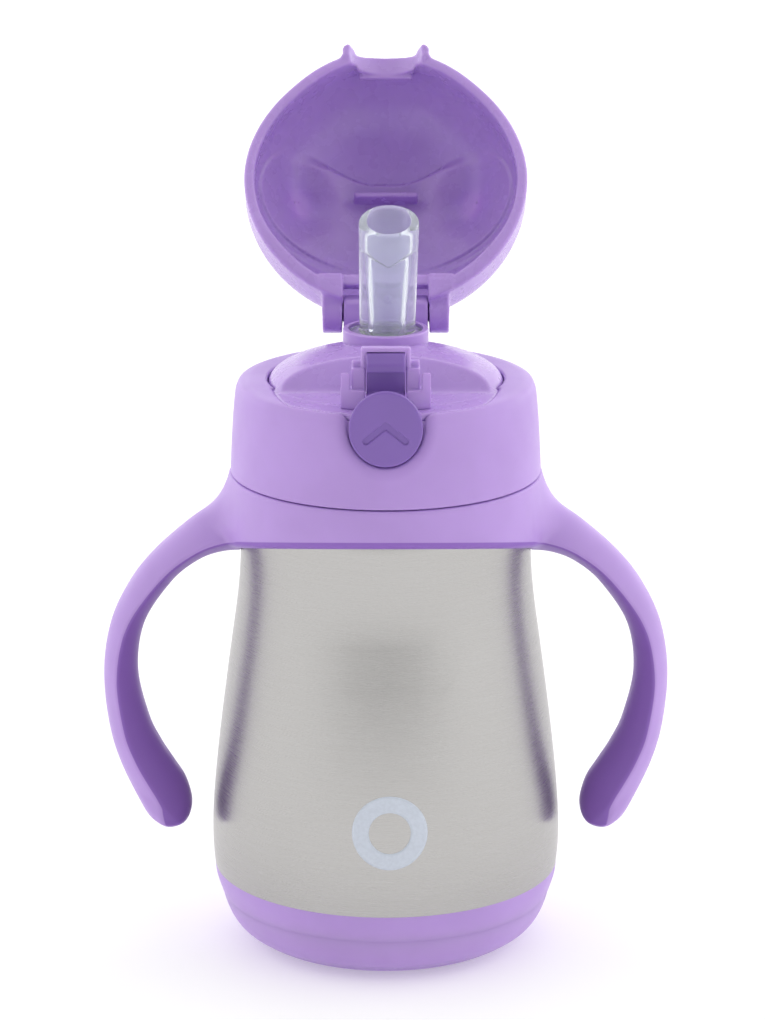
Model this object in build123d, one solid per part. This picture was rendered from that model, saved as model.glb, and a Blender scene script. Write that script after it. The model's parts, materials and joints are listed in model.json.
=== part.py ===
from build123d import *
import math
import os

# Toddler straw cup: insulated steel flask, clamped handle ring, screw-on collar with a flip lid.
# Millimetres, +Z up, front of the cup towards -Y, origin at the centre of the flat base.

# Driving sizes: flask
BASE_R = 25.0
SEAM_Z = 17.8
BODY_R = 40.3
BOOT_R = 39.85
TUCK_R = 38.3
FOOT_R = 31.0
FOOT_Z = 2.0
PLATE_T = 0.6
DIMPLE_R = 4.4
DIMPLE_H = 2.2
SHOULDER_R = 33.2
SHOULDER_Z = 101.0
NECK_R = 29.0
NECK_Z = 110.8
MOUTH_Z = 126.0
STEEL = 0.6
INNER_R = 31.8
INNER_NECK_R = 27.9
INNER_FLOOR_Z = 12.0
INNER_CORNER_R = 4.0
INNER_NECK_Z = 104.0

# Screw thread between the neck and the collar
PITCH = 4.0
THREAD_TURNS = 2.0
THREAD_Z = 113.6
CREST_R = 30.0
THREAD_BASE = 1.8
SLEEVE_R = 30.3
SLEEVE_CREST_R = 29.3

# Handle ring
RING_R = 35.5
RING_TOP = 111.6
RING_BORE_R = 30.4
HANDLE_HALF_W = 7.5
HANDLE_EDGE_R = 3.0
RING_SIDE_Z = 93.0
RING_RISE = 0.28

# Collar and dome
COLLAR_BOTTOM = 111.75
COLLAR_TOP = 133.3
COLLAR_HOLE_R = 27.6
SEAT_R = 29.4
SEAL_TOP = 128.0
SEAL_R = 28.9
SEAL_BORE_R = 27.5
PLATE_TOP = 131.2
DOME_R = 26.5
DOME_H = 7.5
DOME_BASE_Z = 132.5
FLOOR_Z = 132.8
DOME_WALL = 1.8
SLOPE_TOP = (-6.5, 139.5)
SLOPE_FOOT = (-13.0, 132.8)
LOBE_HALF = 21.8
LOBE_FRONT_Y = -25.4
LOBE_ROOT_HALF = 25.6
LOBE_ROOT_Y = -10.0
LOBE_R = 33.2

# Mouthpiece and straw
SPOUT_Y = 11.5
SPOUT_RING_R = 9.8
SPOUT_RING_TOP = 142.1
SPOUT_RING_FOOT = 137.4
SPOUT_BOSS_R = 9.3
FLANGE_R = 8.5
FLANGE_Z = 140.3
STEM_R = 5.2
FOLD_Z = 143.8
SPOUT_TOP = 167.0
SPOUT_R0 = 6.45
SPOUT_R1 = 6.9
SPOUT_BORE_R = 3.9
MOUTH_BORE_R = 4.9
MOUTH_STEP_Z = 158.5
MOUTH_SLANT_DEG = 20.0
STRAW_R = 3.2
STRAW_BORE_R = 2.3
STRAW_END_Z = 15.5
STRAW_TOP_Z = 137.5

# Air vent valve under the front floor; its channel opens into the spring tower
VENT_Y = -15.5
VENT_R = 2.0
VENT_TOP = 132.4

# Hinge and flip lid, drawn closed and then turned back by OPEN_DEG
PIN_Y = 33.0
PIN_Z = 140.4
PIN_R = 1.85
PIN_GAP = 0.06
KNUCKLE_HALF = 9.75
KNUCKLE_R = 4.3
ARM_IN = 10.2
ARM_OUT = 14.7
ARM_R = 4.1
OPEN_DEG = 125.0
LID_R = 33.4
LID_WALL = 1.8
LID_BOTTOM = 133.6
LID_STRAIGHT = 142.0
LID_CROWN = 19.8

# Latch and its button
BUTTON_R = 8.55
BUTTON_Z = 130.0
BUTTON_Y = -35.0
BUTTON_T = 1.6
POCKET_R = 9.0
POCKET_Y = -31.9
HOOK_HALF = 4.2
SCOOP_R = 9.2
SPRING_TOWER_Y = -18.0
HOOK_FRONT = -28.6
STEM_FRONT = -26.6
STEM_BACK = -24.7
HOOK_BOTTOM = 141.3
HOOK_TOP = 145.2
SPRING_Z = 137.3
SPRING_BACK = -13.6
SPRING_MEAN_R = 1.5
SPRING_WIRE_R = 0.25
SPRING_TURNS = 7

HANDLE_OUTER = [
    (34.4, 108.2), (38.5, 104.3), (45.2, 99.6), (53.2, 92.4), (61.4, 80.4),
    (65.1, 63.5), (62.4, 44.5), (57.0, 31.6),
]
HANDLE_INNER = [
    (45.2, 31.6), (47.9, 39.5), (54.2, 51.3), (57.3, 64.0),
    (53.2, 80.4), (45.6, 88.4), (38.1, 92.0), (34.4, 92.8),
]
HANDLE_TIP = (50.6, 25.6)


def revolved(*edges):
    """A solid of revolution about Z from edges drawn as (radius, height)."""
    outline = Wire(list(edges))
    return revolve(make_face(Plane.XZ * outline), Axis.Z)


def crown(radius, base_z, height):
    """A quarter ellipse from the rim (radius, base_z) up to the axis."""
    angles = [math.radians(step) for step in (0, 22.5, 45, 67.5, 90)]
    points = [(radius * math.cos(a), base_z + height * math.sin(a)) for a in angles]
    points[-1] = (0, base_z + height)
    return Spline(*points, tangents=((0, 1), (-1, 0)))


def block(x0, x1, y0, y1, z0, z1):
    """A box between two corners."""
    middle = ((x0 + x1) / 2, (y0 + y1) / 2, (z0 + z1) / 2)
    return Pos(*middle) * Box(x1 - x0, y1 - y0, z1 - z0)


def pair(x0, x1, y0, y1, z0, z1):
    """Two boxes mirrored across the middle plane."""
    return block(x0, x1, y0, y1, z0, z1) + block(-x1, -x0, y0, y1, z0, z1)


def upright(radius, z0, z1, y=0.0):
    """A cylinder along Z."""
    return Pos(0, y, (z0 + z1) / 2) * Cylinder(radius, z1 - z0)


def fore_aft(radius, y0, y1, z, x=0.0):
    """A cylinder along Y."""
    return Pos(x, (y0 + y1) / 2, z) * Rot(90, 0, 0) * Cylinder(radius, y1 - y0)


def crosswise(radius, x0, x1, y, z):
    """A cylinder along X."""
    return Pos((x0 + x1) / 2, y, z) * Rot(0, 90, 0) * Cylinder(radius, x1 - x0)


def side_plate(points, half):
    """An outline of (y, z) points, extruded both ways along X."""
    face = make_face(Plane.YZ * Polyline(*points, close=True))
    return extrude(face, half, both=True)


def thread(root_r, crest_r, start_z):
    """A right-hand helical ridge that stands from root_r to crest_r."""
    sign = 1 if crest_r > root_r else -1
    helix = Helix(pitch=PITCH, height=PITCH * THREAD_TURNS, radius=root_r)
    section = Polyline(
        (-0.2 * sign, -THREAD_BASE / 2),
        (crest_r - root_r, -THREAD_BASE / 4),
        (crest_r - root_r, THREAD_BASE / 4),
        (-0.2 * sign, THREAD_BASE / 2),
        close=True,
    )
    start = Plane(origin=helix @ 0, x_dir=(1, 0, 0), z_dir=helix % 0)
    ridge = sweep(start * make_face(section), path=helix, is_frenet=True)
    return Pos(0, 0, start_z) * ridge


# Flask: the steel walls, their base and the soft boot

def wall_line(inset):
    """The outer wall's side from the boot seam up to the neck, moved in by inset."""
    side = Spline(
        (BOOT_R - inset, SEAM_Z + inset),
        (BODY_R - inset, 25.0),
        (39.8 - inset, 36.0),
        (37.6 - inset, 56.0),
        (35.3 - inset, 73.0),
        (33.65 - inset, 86.0),
        (SHOULDER_R - inset, 95.0),
        (SHOULDER_R - inset, SHOULDER_Z),
    )
    shoulder = Spline(
        (SHOULDER_R - inset, SHOULDER_Z),
        (31.2 - inset, 106.6),
        (NECK_R - inset, NECK_Z),
        tangents=((0, 1), (0, 1)),
    )
    return [side, shoulder]


def tuck_line(inset):
    """The stepped-in foot of the outer wall, inside the boot, moved in by inset."""
    return Spline(
        (FOOT_R - inset, FOOT_Z + inset),
        (35.8 - inset, 5.6 + inset),
        (TUCK_R - inset, 13.0 + inset),
        (TUCK_R - inset, SEAM_Z + inset),
        tangents=((1, 0.35), (0, 1)),
    )


def make_outer_wall():
    edges = [
        tuck_line(0.0),
        Line((TUCK_R, SEAM_Z), (BOOT_R, SEAM_Z)),
        *wall_line(0.0),
        Line((NECK_R, NECK_Z), (NECK_R, MOUTH_Z - STEEL)),
        Line((NECK_R, MOUTH_Z - STEEL), (NECK_R - STEEL, MOUTH_Z - STEEL)),
        Line((NECK_R - STEEL, MOUTH_Z - STEEL), (NECK_R - STEEL, NECK_Z)),
        *wall_line(STEEL),
        Line((BOOT_R - STEEL, SEAM_Z + STEEL), (TUCK_R - STEEL, SEAM_Z + STEEL)),
        tuck_line(STEEL),
        Line((FOOT_R - STEEL, FOOT_Z + STEEL), (FOOT_R, FOOT_Z)),
    ]
    return revolved(*edges) + thread(NECK_R, CREST_R, THREAD_Z)


def make_inner_flask():
    """Deep-drawn liner with a rolled lip that caps the outer wall."""
    floor_z = INNER_FLOOR_Z - STEEL
    corner_x, corner_z = INNER_R - INNER_CORNER_R, floor_z + INNER_CORNER_R

    def side(inset):
        bend = INNER_CORNER_R - inset
        halfway = bend * math.sqrt(0.5)
        return [
            Line((0, floor_z + inset), (corner_x, floor_z + inset)),
            ThreePointArc(
                (corner_x, floor_z + inset),
                (corner_x + halfway, corner_z - halfway),
                (INNER_R - inset, corner_z),
            ),
            Spline(
                (INNER_R - inset, corner_z),
                (INNER_R - 0.2 - inset, 40.0),
                (30.3 - inset, 66.0),
                (28.7 - inset, 88.0),
                (INNER_NECK_R - inset, INNER_NECK_Z),
                tangents=((0, 1), (0, 1)),
            ),
        ]
    edges = [
        *side(0.0),
        Line((INNER_NECK_R, INNER_NECK_Z), (INNER_NECK_R, MOUTH_Z - STEEL)),
        Line((INNER_NECK_R, MOUTH_Z - STEEL), (NECK_R, MOUTH_Z - STEEL)),
        Line((NECK_R, MOUTH_Z - STEEL), (NECK_R, MOUTH_Z)),
        Line((NECK_R, MOUTH_Z), (INNER_NECK_R - STEEL, MOUTH_Z)),
        Line((INNER_NECK_R - STEEL, MOUTH_Z), (INNER_NECK_R - STEEL, INNER_NECK_Z)),
        *side(STEEL),
        Line((0, INNER_FLOOR_Z), (0, floor_z)),
    ]
    return revolved(*edges)


def make_base_plate():
    """Disc that closes the outer wall, with the dimple the vacuum was drawn through."""
    disc = upright(FOOT_R - 0.7, FOOT_Z, FOOT_Z + PLATE_T)
    dimple = upright(DIMPLE_R + PLATE_T, FOOT_Z, FOOT_Z + DIMPLE_H)
    hollow = upright(DIMPLE_R, FOOT_Z - 0.1, FOOT_Z + DIMPLE_H - PLATE_T)
    port = upright(0.8, FOOT_Z + 1, FOOT_Z + 3)
    return disc + dimple - hollow - port


def make_vacuum_cap():
    """Solder disc that seals the dimple."""
    return upright(DIMPLE_R - 0.1, FOOT_Z + 0.8, FOOT_Z + DIMPLE_H - PLATE_T - 0.05)


def make_getter():
    """Getter pellet under the liner that keeps the vacuum."""
    under = INNER_FLOOR_Z - STEEL
    return upright(5.0, under - 1.8, under)


def make_base_boot():
    outer = Spline(
        (BASE_R, 0.0),
        (34.5, 4.2),
        (37.4, 9.3),
        (39.25, 14.3),
        (BOOT_R, SEAM_Z),
        tangents=((1, 0.04), (0.05, 1)),
    )
    gap = 0.1
    inner = Spline(
        (TUCK_R + gap, SEAM_Z),
        (TUCK_R + gap, 13.0),
        (35.8 + gap, 5.6 - gap),
        (31.3, 1.95),
        tangents=((0, -1), (-1, -0.35)),
    )
    edges = [
        Line((0, 0), (BASE_R, 0)),
        outer,
        Line((BOOT_R, SEAM_Z), (TUCK_R + gap, SEAM_Z)),
        inner,
        Line((31.3, 1.95), (0, 1.95)),
        Line((0, 1.95), (0, 0)),
    ]
    return revolved(*edges)


# Handle ring with its two open loops

def make_handle_ring():
    gap = 0.15
    sleeve = revolved(
        Spline(
            (SHOULDER_R + 0.25 + gap, 91.0),
            (SHOULDER_R + gap, 95.5),
            (SHOULDER_R + gap, SHOULDER_Z),
        ),
        Spline(
            (SHOULDER_R + gap, SHOULDER_Z),
            (31.5 + gap, 106.7),
            (RING_BORE_R, 109.6),
            tangents=((0, 1), (-0.3, 1)),
        ),
        Line((RING_BORE_R, 109.6), (RING_BORE_R, RING_TOP)),
        Line((RING_BORE_R, RING_TOP), (RING_R - 0.4, RING_TOP)),
        Line((RING_R - 0.4, RING_TOP), (RING_R, RING_TOP - 0.4)),
        Line((RING_R, RING_TOP - 0.4), (RING_R + 0.1, 91.0)),
        Line((RING_R + 0.1, 91.0), (SHOULDER_R + 0.25 + gap, 91.0)),
    )
    reach = 50.0
    below = 80.0
    edge_z = RING_SIDE_Z + reach * RING_RISE
    arch = [(-reach, edge_z), (0, RING_SIDE_Z), (reach, edge_z)]
    sleeve -= side_plate([*arch, (reach, below), (-reach, below)], 45)
    loop = make_face(
        Plane.XZ
        * Wire(
            [
                Spline(*HANDLE_OUTER),
                ThreePointArc(HANDLE_OUTER[-1], HANDLE_TIP, HANDLE_INNER[0]),
                Spline(*HANDLE_INNER),
                Line(HANDLE_INNER[-1], HANDLE_OUTER[0]),
            ]
        )
    )
    handle = extrude(loop, HANDLE_HALF_W, both=True)
    shortest = 12.0
    side_edges = [e for e in handle.edges() if abs(e.center().Y) > HANDLE_HALF_W - 0.1]
    long_edges = [e for e in side_edges if e.length > shortest]
    handle = fillet(long_edges, HANDLE_EDGE_R)
    handle -= upright(SHOULDER_R + 0.9, 80, 115)
    return sleeve + handle + mirror(handle, Plane.YZ)


# Screw-on collar, dome, seal

def lobe(height0, height1, grow):
    """The flat tongue of the dome plate, which narrows towards the collar's front edge."""
    past_edge = -LOBE_R - 2
    right = [
        (LOBE_ROOT_HALF + grow, LOBE_ROOT_Y), (LOBE_HALF + grow, LOBE_FRONT_Y), (LOBE_HALF + grow, past_edge),
    ]
    left = [(-x, y) for x, y in reversed(right)]
    outline = Pos(0, 0, height0) * make_face(Polyline(*right, *left, close=True))
    return extrude(outline, height1 - height0) & upright(LOBE_R + grow, height0, height1)


def button_pocket():
    """Round recess in the collar's front for the button, with its bevelled mouth."""
    bore = fore_aft(POCKET_R, -40.0, POCKET_Y, BUTTON_Z)
    mouth_y = -33.75
    depth = 4.0
    cone = Pos(0, mouth_y - depth / 2, BUTTON_Z) * Rot(90, 0, 0) * Cone(POCKET_R, POCKET_R + depth, depth)
    return bore + cone


def make_screw_collar():
    rise = (COLLAR_TOP - COLLAR_BOTTOM) / 3
    body = revolved(
        Spline(
            (35.4, COLLAR_BOTTOM),
            (35.15, COLLAR_BOTTOM + rise),
            (34.65, COLLAR_BOTTOM + 2 * rise),
            (33.95, COLLAR_TOP - 1.2),
        ),
        ThreePointArc((33.95, COLLAR_TOP - 1.2), (33.55, COLLAR_TOP - 0.36), (32.7, COLLAR_TOP)),
        Line((32.7, COLLAR_TOP), (COLLAR_HOLE_R, COLLAR_TOP)),
        Line((COLLAR_HOLE_R, COLLAR_TOP), (COLLAR_HOLE_R, PLATE_TOP)),
        Line((COLLAR_HOLE_R, PLATE_TOP), (SEAT_R + 0.05, PLATE_TOP)),
        Line((SEAT_R + 0.05, PLATE_TOP), (SEAT_R + 0.05, SEAL_TOP)),
        Line((SEAT_R + 0.05, SEAL_TOP), (SLEEVE_R, SEAL_TOP - 0.9)),
        Line((SLEEVE_R, SEAL_TOP - 0.9), (SLEEVE_R, COLLAR_BOTTOM)),
        Line((SLEEVE_R, COLLAR_BOTTOM), (35.4, COLLAR_BOTTOM)),
    )
    body += thread(SLEEVE_R, SLEEVE_CREST_R, THREAD_Z + PITCH / 2)
    body -= lobe(PLATE_TOP, COLLAR_TOP + 1, 0.05)
    body -= button_pocket()
    knuckle = side_plate(
        [
            (29.2, COLLAR_TOP - 1.2), (PIN_Y - KNUCKLE_R, PIN_Z), (PIN_Y + KNUCKLE_R, PIN_Z),
            (36.9, 135.5), (34.4, 130.0), (33.2, 128.5), (32.0, 131.0),
        ],
        KNUCKLE_HALF,
    )
    knuckle += crosswise(KNUCKLE_R, -KNUCKLE_HALF, KNUCKLE_HALF, PIN_Y, PIN_Z)
    return body + knuckle - crosswise(PIN_R, -20, 20, PIN_Y, PIN_Z)


def dome_profile(radius, height, base_z, foot_z):
    """Half an ellipsoid over a short cylinder."""
    return revolved(
        crown(radius, base_z, height),
        Line((0, base_z + height), (0, foot_z)),
        Line((0, foot_z), (radius, foot_z)),
        Line((radius, foot_z), (radius, base_z)),
    )


def front_cut(shift, floor_z):
    """Everything in front of the dome's sloping face and above its front floor."""
    (y1, z1), (y0, z0) = SLOPE_TOP, SLOPE_FOOT
    lean = (y1 - y0) / (z1 - z0)
    foot_y = y0 + shift + lean * (floor_z - z0)
    top_y = y0 + shift + lean * (150.0 - z0)
    return side_plate([(foot_y, floor_z), (top_y, 150.0), (-45, 150.0), (-45, floor_z)], 40)


def behind_slope():
    """Everything behind the dome's sloping face, so that the spring tower stops on it."""
    (y1, z1), (y0, z0) = SLOPE_TOP, SLOPE_FOOT
    lean = (y1 - y0) / (z1 - z0)
    into_wall = 0.5
    reach = 20.0
    foot = (y0 + into_wall, z0)
    top = (y0 + into_wall + lean * reach, z0 + reach)
    return side_plate([foot, top, (reach, z0 + reach), (reach, z0)], 40)


def make_lid_dome():
    outer = dome_profile(DOME_R, DOME_H, DOME_BASE_Z, SEAL_TOP) - front_cut(0, FLOOR_Z)
    outer += upright(SEAT_R, SEAL_TOP, PLATE_TOP)
    outer += lobe(PLATE_TOP, FLOOR_Z, 0)
    cavity = dome_profile(DOME_R - DOME_WALL, DOME_H - DOME_WALL, DOME_BASE_Z, SEAL_TOP - 1)
    cavity -= front_cut(DOME_WALL * 1.4, FLOOR_Z - DOME_WALL)
    dome = outer - cavity
    dome -= upright(SPOUT_RING_R + 0.03, SPOUT_RING_FOOT, SPOUT_RING_TOP, SPOUT_Y)
    dome += upright(SPOUT_BOSS_R, 135.2, FLANGE_Z, SPOUT_Y)
    dome += block(-3.4, 3.4, SPRING_TOWER_Y, -9.0, FLOOR_Z, SPRING_Z + 2.9) - behind_slope()
    dome -= upright(STEM_R + 0.05, 130.0, FLANGE_Z + 1, SPOUT_Y)
    dome -= fore_aft(SPRING_MEAN_R + 0.6, SPRING_TOWER_Y - 1, SPRING_BACK, SPRING_Z)
    dome -= upright(VENT_R, FLOOR_Z - 3, VENT_TOP, VENT_Y)
    dome -= upright(0.6, VENT_TOP - 1, SPRING_Z, VENT_Y)
    dome -= button_pocket()
    return dome


def make_spout_ring():
    """Snap ring over the dome's boss that clamps the mouthpiece flange."""
    ring = upright(SPOUT_RING_R, SPOUT_RING_FOOT, SPOUT_RING_TOP, SPOUT_Y)
    ring = fillet(ring.edges().group_by(Axis.Z)[-1], 0.35)
    ring -= upright(SPOUT_BOSS_R + 0.03, SPOUT_RING_FOOT - 1, FLANGE_Z, SPOUT_Y)
    return ring - upright(FLANGE_R + 0.05, FLANGE_Z - 1, SPOUT_RING_TOP + 1, SPOUT_Y)


def make_lid_seal():
    """Flat silicone ring that the flask's lip presses against."""
    return upright(SEAL_R, MOUTH_Z, SEAL_TOP) - upright(SEAL_BORE_R, MOUTH_Z - 1, SEAL_TOP + 1)


# Latch

def make_latch_bracket():
    """Light frame around the hook, with its side guides, blocks and posts."""
    base = pair(4.6, 10.0, -29.6, -23.6, FLOOR_Z, 137.2)
    posts = pair(7.95, 10.0, -29.6, -26.6, 137.2, 140.2)
    posts += crosswise(1.5, 7.95, 10.0, -28.1, 139.6)
    posts += crosswise(1.5, -10.0, -7.95, -28.1, 139.6)
    lugs = pair(4.6, 7.5, -27.0, -23.6, 136.5, 141.9) + pair(4.6, 7.5, -25.6, -23.6, 141.9, 143.7)
    frame = block(-5.5, 5.5, -26.4, -23.6, 136.5, 146.4)
    frame -= block(-4.45, 4.45, -27, -23, 132, HOOK_TOP + 0.25)
    return base + posts + lugs + frame


def make_latch_button():
    """Round push button, its bridge and the ramped hook, in one moulding."""
    disc = fore_aft(BUTTON_R, BUTTON_Y, BUTTON_Y + BUTTON_T, BUTTON_Z)
    disc = fillet(disc.edges().group_by(Axis.Y)[0], 0.5)
    disc -= button_mark()
    bridge = block(-HOOK_HALF, HOOK_HALF, BUTTON_Y + BUTTON_T - 0.2, STEM_BACK, 133.5, 136.4)
    stem = block(-HOOK_HALF, HOOK_HALF, STEM_FRONT, STEM_BACK, 133.5, HOOK_TOP)
    hook = side_plate(
        [
            (STEM_FRONT + 0.2, HOOK_BOTTOM), (HOOK_FRONT, HOOK_BOTTOM), (HOOK_FRONT, HOOK_BOTTOM + 1.6),
            (STEM_FRONT - 0.4, HOOK_TOP), (STEM_FRONT + 0.2, HOOK_TOP),
        ],
        HOOK_HALF,
    )
    peg = fore_aft(0.9, STEM_BACK - 0.2, STEM_BACK + 1.2, SPRING_Z)
    return disc + bridge + stem + hook + peg


def button_mark():
    """A plain shallow chevron that shows where to press."""
    groove = Polyline((-4.2, -1.6), (0, 1.4), (4.2, -1.6), (4.2, -3.0), (0, 0.0), (-4.2, -3.0), close=True)
    face = make_face(Plane(origin=(0, BUTTON_Y - 0.5, BUTTON_Z), x_dir=(1, 0, 0), z_dir=(0, -1, 0)) * groove)
    return extrude(face, -1.0)


def make_button_spring():
    """Compression spring between the button's stem and the tower on the dome."""
    length = SPRING_BACK - STEM_BACK - 2 * SPRING_WIRE_R - 0.1
    coil = Helix(pitch=length / SPRING_TURNS, height=length, radius=SPRING_MEAN_R)
    wire = Plane(origin=coil @ 0, z_dir=coil % 0) * Circle(SPRING_WIRE_R)
    spring = sweep(wire, path=coil, is_frenet=True)
    return Pos(0, SPRING_BACK - SPRING_WIRE_R - 0.05, SPRING_Z) * Rot(90, 0, 0) * spring


# Hinge pin and flip lid

def make_hinge_pin():
    return crosswise(PIN_R, -ARM_OUT + 0.3, ARM_OUT - 0.3, PIN_Y, PIN_Z)


def lid_skin(radius, height, base_z):
    """The lid's surface of revolution: a short upright wall under an elliptical crown."""
    return revolved(
        Line((0, base_z), (radius, base_z)),
        Line((radius, base_z), (radius, LID_STRAIGHT)),
        crown(radius, LID_STRAIGHT, height),
        Line((0, LID_STRAIGHT + height), (0, base_z)),
    )


def opened(shape):
    """Turns a closed-lid shape back about the hinge pin to its open rest."""
    return Pos(0, PIN_Y, PIN_Z) * Rot(-OPEN_DEG, 0, 0) * Pos(0, -PIN_Y, -PIN_Z) * shape


def make_flip_lid():
    outer = lid_skin(LID_R, LID_CROWN, LID_BOTTOM)
    cavity = lid_skin(LID_R - LID_WALL, LID_CROWN - LID_WALL, LID_BOTTOM - 1)
    shell = outer - cavity
    shell -= block(-10.0, 10.0, 26.0, 40.0, 130.0, 146.6)
    shell -= fore_aft(SCOOP_R, -40.0, -20.0, BUTTON_Z)
    band = fore_aft(SCOOP_R + LID_WALL, -32.5, -30.0, BUTTON_Z)
    band -= fore_aft(SCOOP_R, -33.0, -29.0, BUTTON_Z)
    band &= block(-9.0, 9.0, -33.0, -29.0, 135.5, 142.0)
    arms = pair(ARM_IN, ARM_OUT, 29.4, PIN_Y, PIN_Z - ARM_R, PIN_Z + ARM_R)
    arms += crosswise(ARM_R, ARM_IN, ARM_OUT, PIN_Y, PIN_Z)
    arms += crosswise(ARM_R, -ARM_OUT, -ARM_IN, PIN_Y, PIN_Z)
    catch = block(-6.3, 6.3, -32.0, -27.4, 139.4, 140.9)
    stop = block(-7.0, 7.0, -6.9, -4.9, 157.8, 160.6)
    lid = shell + band + arms + catch + stop
    lid -= crosswise(PIN_R + PIN_GAP, -20, 20, PIN_Y, PIN_Z)
    return opened(lid)


# Mouthpiece and straw

def make_spout_base():
    """Flange and stem of the silicone mouthpiece, below the fold."""
    body = upright(FLANGE_R, FLANGE_Z, FLANGE_Z + 1.2, SPOUT_Y)
    body += upright(SPOUT_R0, FLANGE_Z, FOLD_Z - 0.05, SPOUT_Y)
    body += upright(STEM_R, 131.0, FLANGE_Z + 0.5, SPOUT_Y)
    body -= upright(STRAW_R, 130.0, STRAW_TOP_Z, SPOUT_Y)
    body -= upright(SPOUT_BORE_R - 0.9, STRAW_TOP_Z - 1, FOLD_Z + 1, SPOUT_Y)
    return body


def make_spout_tip():
    """The part of the mouthpiece above the fold, with its slanted mouth."""
    height = SPOUT_TOP + 3.0 - FOLD_Z
    body = Pos(0, SPOUT_Y, FOLD_Z + height / 2) * Cone(SPOUT_R0, SPOUT_R1, height)
    body -= upright(SPOUT_BORE_R, FOLD_Z - 1, SPOUT_TOP + 5, SPOUT_Y)
    body -= upright(MOUTH_BORE_R, MOUTH_STEP_Z, SPOUT_TOP + 5, SPOUT_Y)
    above = Pos(0, SPOUT_Y, SPOUT_TOP) * Rot(MOUTH_SLANT_DEG, 0, 0) * block(-20, 20, -20, 20, 0, 20)
    return body - above


def make_vent_valve():
    """Duckbill plug that lets air back in, pushed up into the floor of the dome's front."""
    plug = upright(VENT_R, VENT_TOP - 1.4, VENT_TOP, VENT_Y)
    plug += upright(VENT_R + 1.0, VENT_TOP - 2.6, VENT_TOP - 1.4, VENT_Y)
    bill = Pos(0, VENT_Y, VENT_TOP - 4.6) * Cone(0.9, VENT_R, 4.0)
    slit = block(-0.8, 0.8, VENT_Y - 0.1, VENT_Y + 0.1, VENT_TOP - 7.0, VENT_TOP - 5.0)
    return plug + bill - slit - upright(0.6, VENT_TOP - 5.5, VENT_TOP + 1, VENT_Y)


def make_straw_tube():
    tube = upright(STRAW_R, STRAW_END_Z, STRAW_TOP_Z, SPOUT_Y)
    return tube - upright(STRAW_BORE_R, STRAW_END_Z - 1, STRAW_TOP_Z + 1, SPOUT_Y)


PARTS = {
    "base_boot": make_base_boot,
    "outer_wall": make_outer_wall,
    "inner_flask": make_inner_flask,
    "base_plate": make_base_plate,
    "vacuum_cap": make_vacuum_cap,
    "handle_ring": make_handle_ring,
    "lid_seal": make_lid_seal,
    "screw_collar": make_screw_collar,
    "lid_dome": make_lid_dome,
    "latch_bracket": make_latch_bracket,
    "latch_button": make_latch_button,
    "button_spring": make_button_spring,
    "hinge_pin": make_hinge_pin,
    "flip_lid": make_flip_lid,
    "spout_ring": make_spout_ring,
    "getter": make_getter,
    "vent_valve": make_vent_valve,
    "spout_base": make_spout_base,
    "spout_tip": make_spout_tip,
    "straw_tube": make_straw_tube,
}

os.makedirs("parts", exist_ok=True)
for name, make in PARTS.items():
    export_step(make(), f"parts/{name}.step")
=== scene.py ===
import json
import math
from itertools import product

import bpy
import numpy as np
from mathutils import Euler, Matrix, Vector
from mathutils.bvhtree import BVHTree


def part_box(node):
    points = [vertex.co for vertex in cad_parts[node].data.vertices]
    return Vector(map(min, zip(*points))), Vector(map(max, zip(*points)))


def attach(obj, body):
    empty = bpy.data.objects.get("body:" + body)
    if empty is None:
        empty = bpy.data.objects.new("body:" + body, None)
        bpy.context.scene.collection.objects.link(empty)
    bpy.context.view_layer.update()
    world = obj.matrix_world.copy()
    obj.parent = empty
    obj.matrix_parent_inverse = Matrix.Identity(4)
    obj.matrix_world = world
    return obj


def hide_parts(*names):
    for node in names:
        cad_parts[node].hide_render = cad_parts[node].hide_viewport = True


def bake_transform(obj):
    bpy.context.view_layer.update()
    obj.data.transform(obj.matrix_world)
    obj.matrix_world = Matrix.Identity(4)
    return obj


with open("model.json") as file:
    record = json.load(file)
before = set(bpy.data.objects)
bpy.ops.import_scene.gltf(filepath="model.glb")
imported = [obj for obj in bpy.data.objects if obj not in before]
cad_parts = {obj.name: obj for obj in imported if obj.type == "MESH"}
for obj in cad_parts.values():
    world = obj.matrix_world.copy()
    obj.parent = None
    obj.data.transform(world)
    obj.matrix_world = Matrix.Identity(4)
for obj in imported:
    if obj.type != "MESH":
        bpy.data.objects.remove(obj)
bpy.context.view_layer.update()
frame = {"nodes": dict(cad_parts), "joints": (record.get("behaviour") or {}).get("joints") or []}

# Toddler straw cup. Shapes are drawn in millimetres, with the front towards -Y, and written in metres.
MM = 0.001
JOINTS = {joint["name"]: joint for joint in frame["joints"]}


def node_box(name):
    """A CAD node's lowest and highest corners, in mm."""
    low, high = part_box(name)
    return np.array(low) / MM, np.array(high) / MM


def joint_place(name):
    """A joint's pivot, in mm."""
    return np.array(JOINTS[name]["pos_m"]) / MM


# Sizes read from the frame
PIN_Y, PIN_Z = joint_place("lid_close")[1:]
SPOUT_Y, FOLD_Z = joint_place("spout_fold")[1:]
OPEN_ANGLE = math.radians(max(JOINTS["lid_close"]["range_deg"]))
COLLAR_LOW, COLLAR_HIGH = node_box("screw_collar")
RING_LOW, RING_HIGH = node_box("handle_ring")
BUTTON_LOW, BUTTON_HIGH = node_box("latch_button")
BRACKET_LOW, BRACKET_HIGH = node_box("latch_bracket")
FLANGE_R = (node_box("spout_base")[1][0] - node_box("spout_base")[0][0]) / 2
DISC_R = BUTTON_HIGH[0]
DISC_Y = BUTTON_LOW[1]
DISC_Z = BUTTON_LOW[2] + DISC_R
DISC_OVAL = 1.05  # how much the button is squeezed across


# Distance fields: each takes points as an (n, 3) array in mm and is negative inside the shape

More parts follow.
